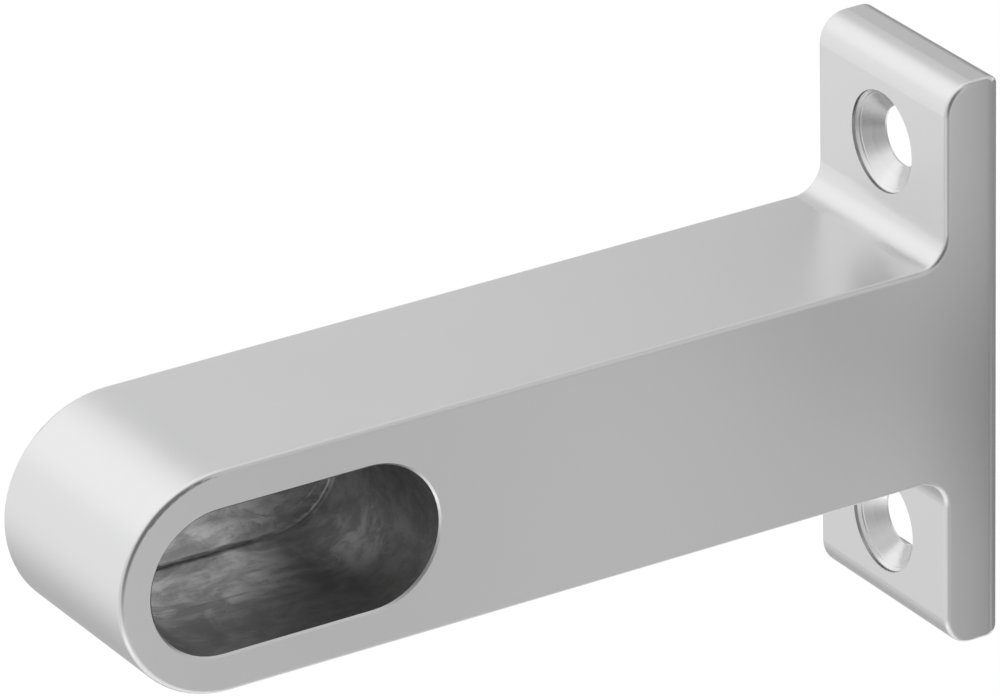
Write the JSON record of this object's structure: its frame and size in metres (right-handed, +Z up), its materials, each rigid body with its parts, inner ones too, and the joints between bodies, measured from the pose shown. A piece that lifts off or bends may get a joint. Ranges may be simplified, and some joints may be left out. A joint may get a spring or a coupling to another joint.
{
  "type": "wardrobe rail end support",
  "caption": "One-piece cast wall bracket whose arm ends in a blind oval socket that carries the end of a wardrobe rail.",
  "frame": {"origin": "middle of the flange's back face, on the wall's plane", "axes": "+Z up along the flange, +Y into the wall, the arm runs along -Y, and the rail's socket opens towards +X"},
  "size_m": [0.0218, 0.0964, 0.0586],
  "materials": {
    "satin_shell": "matt chrome plating over die-cast zinc, bare in the socket and the cored back"
  },
  "bodies": {
    "root": {"rail_end_support": "satin_shell"}
  },
  "joints": []
}
